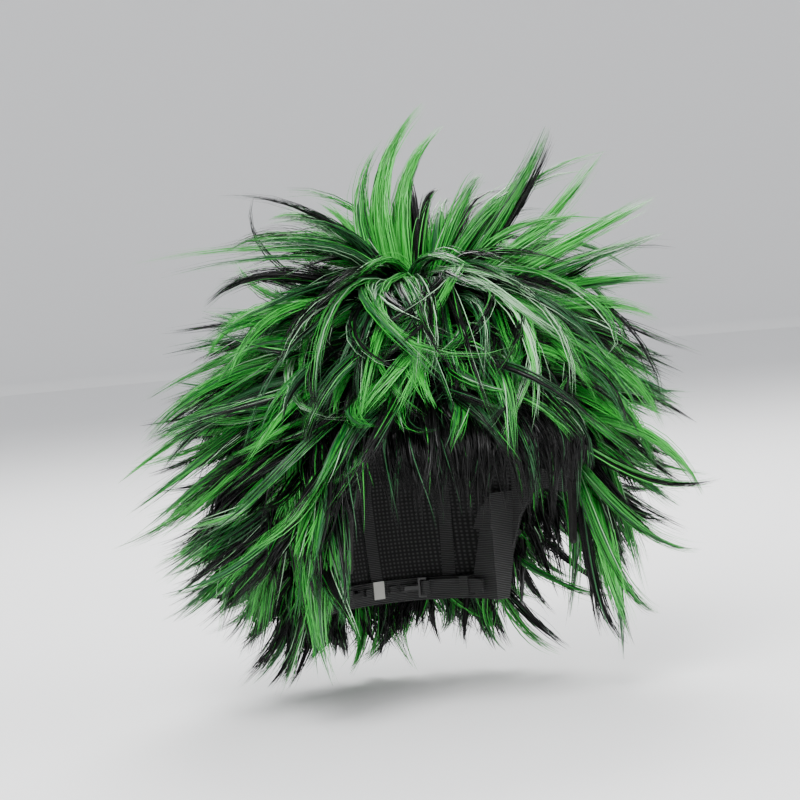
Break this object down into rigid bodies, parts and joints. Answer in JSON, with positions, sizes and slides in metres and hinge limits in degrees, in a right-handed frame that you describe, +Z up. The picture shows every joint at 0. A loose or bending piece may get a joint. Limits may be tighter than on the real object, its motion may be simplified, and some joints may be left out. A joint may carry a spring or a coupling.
{
  "type": "costume wig",
  "caption": "Short spiky costume wig: rows of glossy green-over-black hair on a sewn stretch cap with ear tabs, a dark fringe and hooked nape adjusters.",
  "frame": {"origin": "centre of the head opening at hat-size height, 35 mm above the wearer's eye line", "axes": "+Z up to the crown, -Y the way the wearer faces, +X the wearer's left"},
  "size_m": [0.2967, 0.2772, 0.2927],
  "materials": {
    "hair_green_black": "glossy synthetic fibre, bright green over black with pale green highlights",
    "hair_dark": "glossy synthetic fibre, near black",
    "net": "black stretch net",
    "patch_fabric": "black close-woven patch",
    "weft_thread": "black machine-sewn thread",
    "hook_plastic": "moulded black plastic",
    "satin": "plain woven satin",
    "lining_velvet": "black brushed lining",
    "elastic": "black woven elastic"
  },
  "bodies": {
    "adjuster_left": {"adjuster_strap_left": "elastic"},
    "adjuster_right": {"adjuster_strap_right": "elastic"},
    "wig": {"back_net": "net", "back_ribs": "elastic", "blank_label": "satin", "crown_hair": "hair_green_black", "crown_patch": "patch_fabric", "crown_ring_tape": "elastic", "ear_band_left": "elastic", "ear_band_right": "elastic", "ear_to_ear_tape": "elastic", "fringe_hair": "hair_dark", "fringe_track": "weft_thread", "front_band": "lining_velvet", "hair_row_1": "hair_green_black", "hair_row_10": "hair_green_black", "hair_row_11": "hair_green_black", "hair_row_2": "hair_green_black", "hair_row_3": "hair_green_black", "hair_row_4": "hair_green_black", "hair_row_5": "hair_green_black", "hair_row_6": "hair_green_black", "hair_row_7": "hair_green_black", "hair_row_8": "hair_green_black", "hair_row_9": "hair_green_black", "loop_tape_left": "elastic", "loop_tape_right": "elastic", "nape_band": "elastic", "seam_tape_left": "elastic", "seam_tape_right": "elastic", "side_net_left": "net", "side_net_right": "net", "strap_keeper_left": "elastic", "strap_keeper_right": "elastic", "top_net": "net", "weft_track_1": "weft_thread", "weft_track_10": "weft_thread", "weft_track_11": "weft_thread", "weft_track_2": "weft_thread", "weft_track_3": "weft_thread", "weft_track_4": "weft_thread", "weft_track_5": "weft_thread", "weft_track_6": "weft_thread", "weft_track_7": "weft_thread", "weft_track_8": "weft_thread", "weft_track_9": "weft_thread"},
    "ear_tab_left": {"ear_tab_left": "lining_velvet", "sideburn_hair_left": "hair_green_black"},
    "ear_tab_right": {"ear_tab_right": "lining_velvet", "sideburn_hair_right": "hair_green_black"},
    "hook_left": {"strap_hook_left": "hook_plastic"},
    "hook_right": {"strap_hook_right": "hook_plastic"}
  },
  "joints": [
    {"name": "ear_tab_left_flex", "type": "hinge", "parent": "wig", "child": "ear_tab_left", "pos_m": [0.06797, -0.0385, -0.0096], "axis": [-0.3376, -0.9413, 0], "range_deg": [-12, 18], "stiffness_Nm_per_rad": 0.01},
    {"name": "adjuster_left_travel", "type": "hinge", "parent": "wig", "child": "adjuster_left", "pos_m": [0, 0.031, -0.072], "axis": [0, 0, 1], "range_deg": [0, 12], "stiffness_Nm_per_rad": 0.05},
    {"name": "hook_left_swing", "type": "hinge", "parent": "adjuster_left", "child": "hook_left", "pos_m": [0.02353, 0.07175, -0.072], "axis": [0, 0, 1], "range_deg": [0, 75]},
    {"name": "ear_tab_right_flex", "type": "hinge", "parent": "wig", "child": "ear_tab_right", "pos_m": [-0.06797, -0.0385, -0.0096], "axis": [-0.3376, 0.9413, 0], "range_deg": [-12, 18], "stiffness_Nm_per_rad": 0.01},
    {"name": "adjuster_right_travel", "type": "hinge", "parent": "wig", "child": "adjuster_right", "pos_m": [0, 0.031, -0.072], "axis": [0, 0, -1], "range_deg": [0, 12], "stiffness_Nm_per_rad": 0.05},
    {"name": "hook_right_swing", "type": "hinge", "parent": "adjuster_right", "child": "hook_right", "pos_m": [-0.02353, 0.07175, -0.072], "axis": [0, 0, -1], "range_deg": [0, 75]}
  ]
}
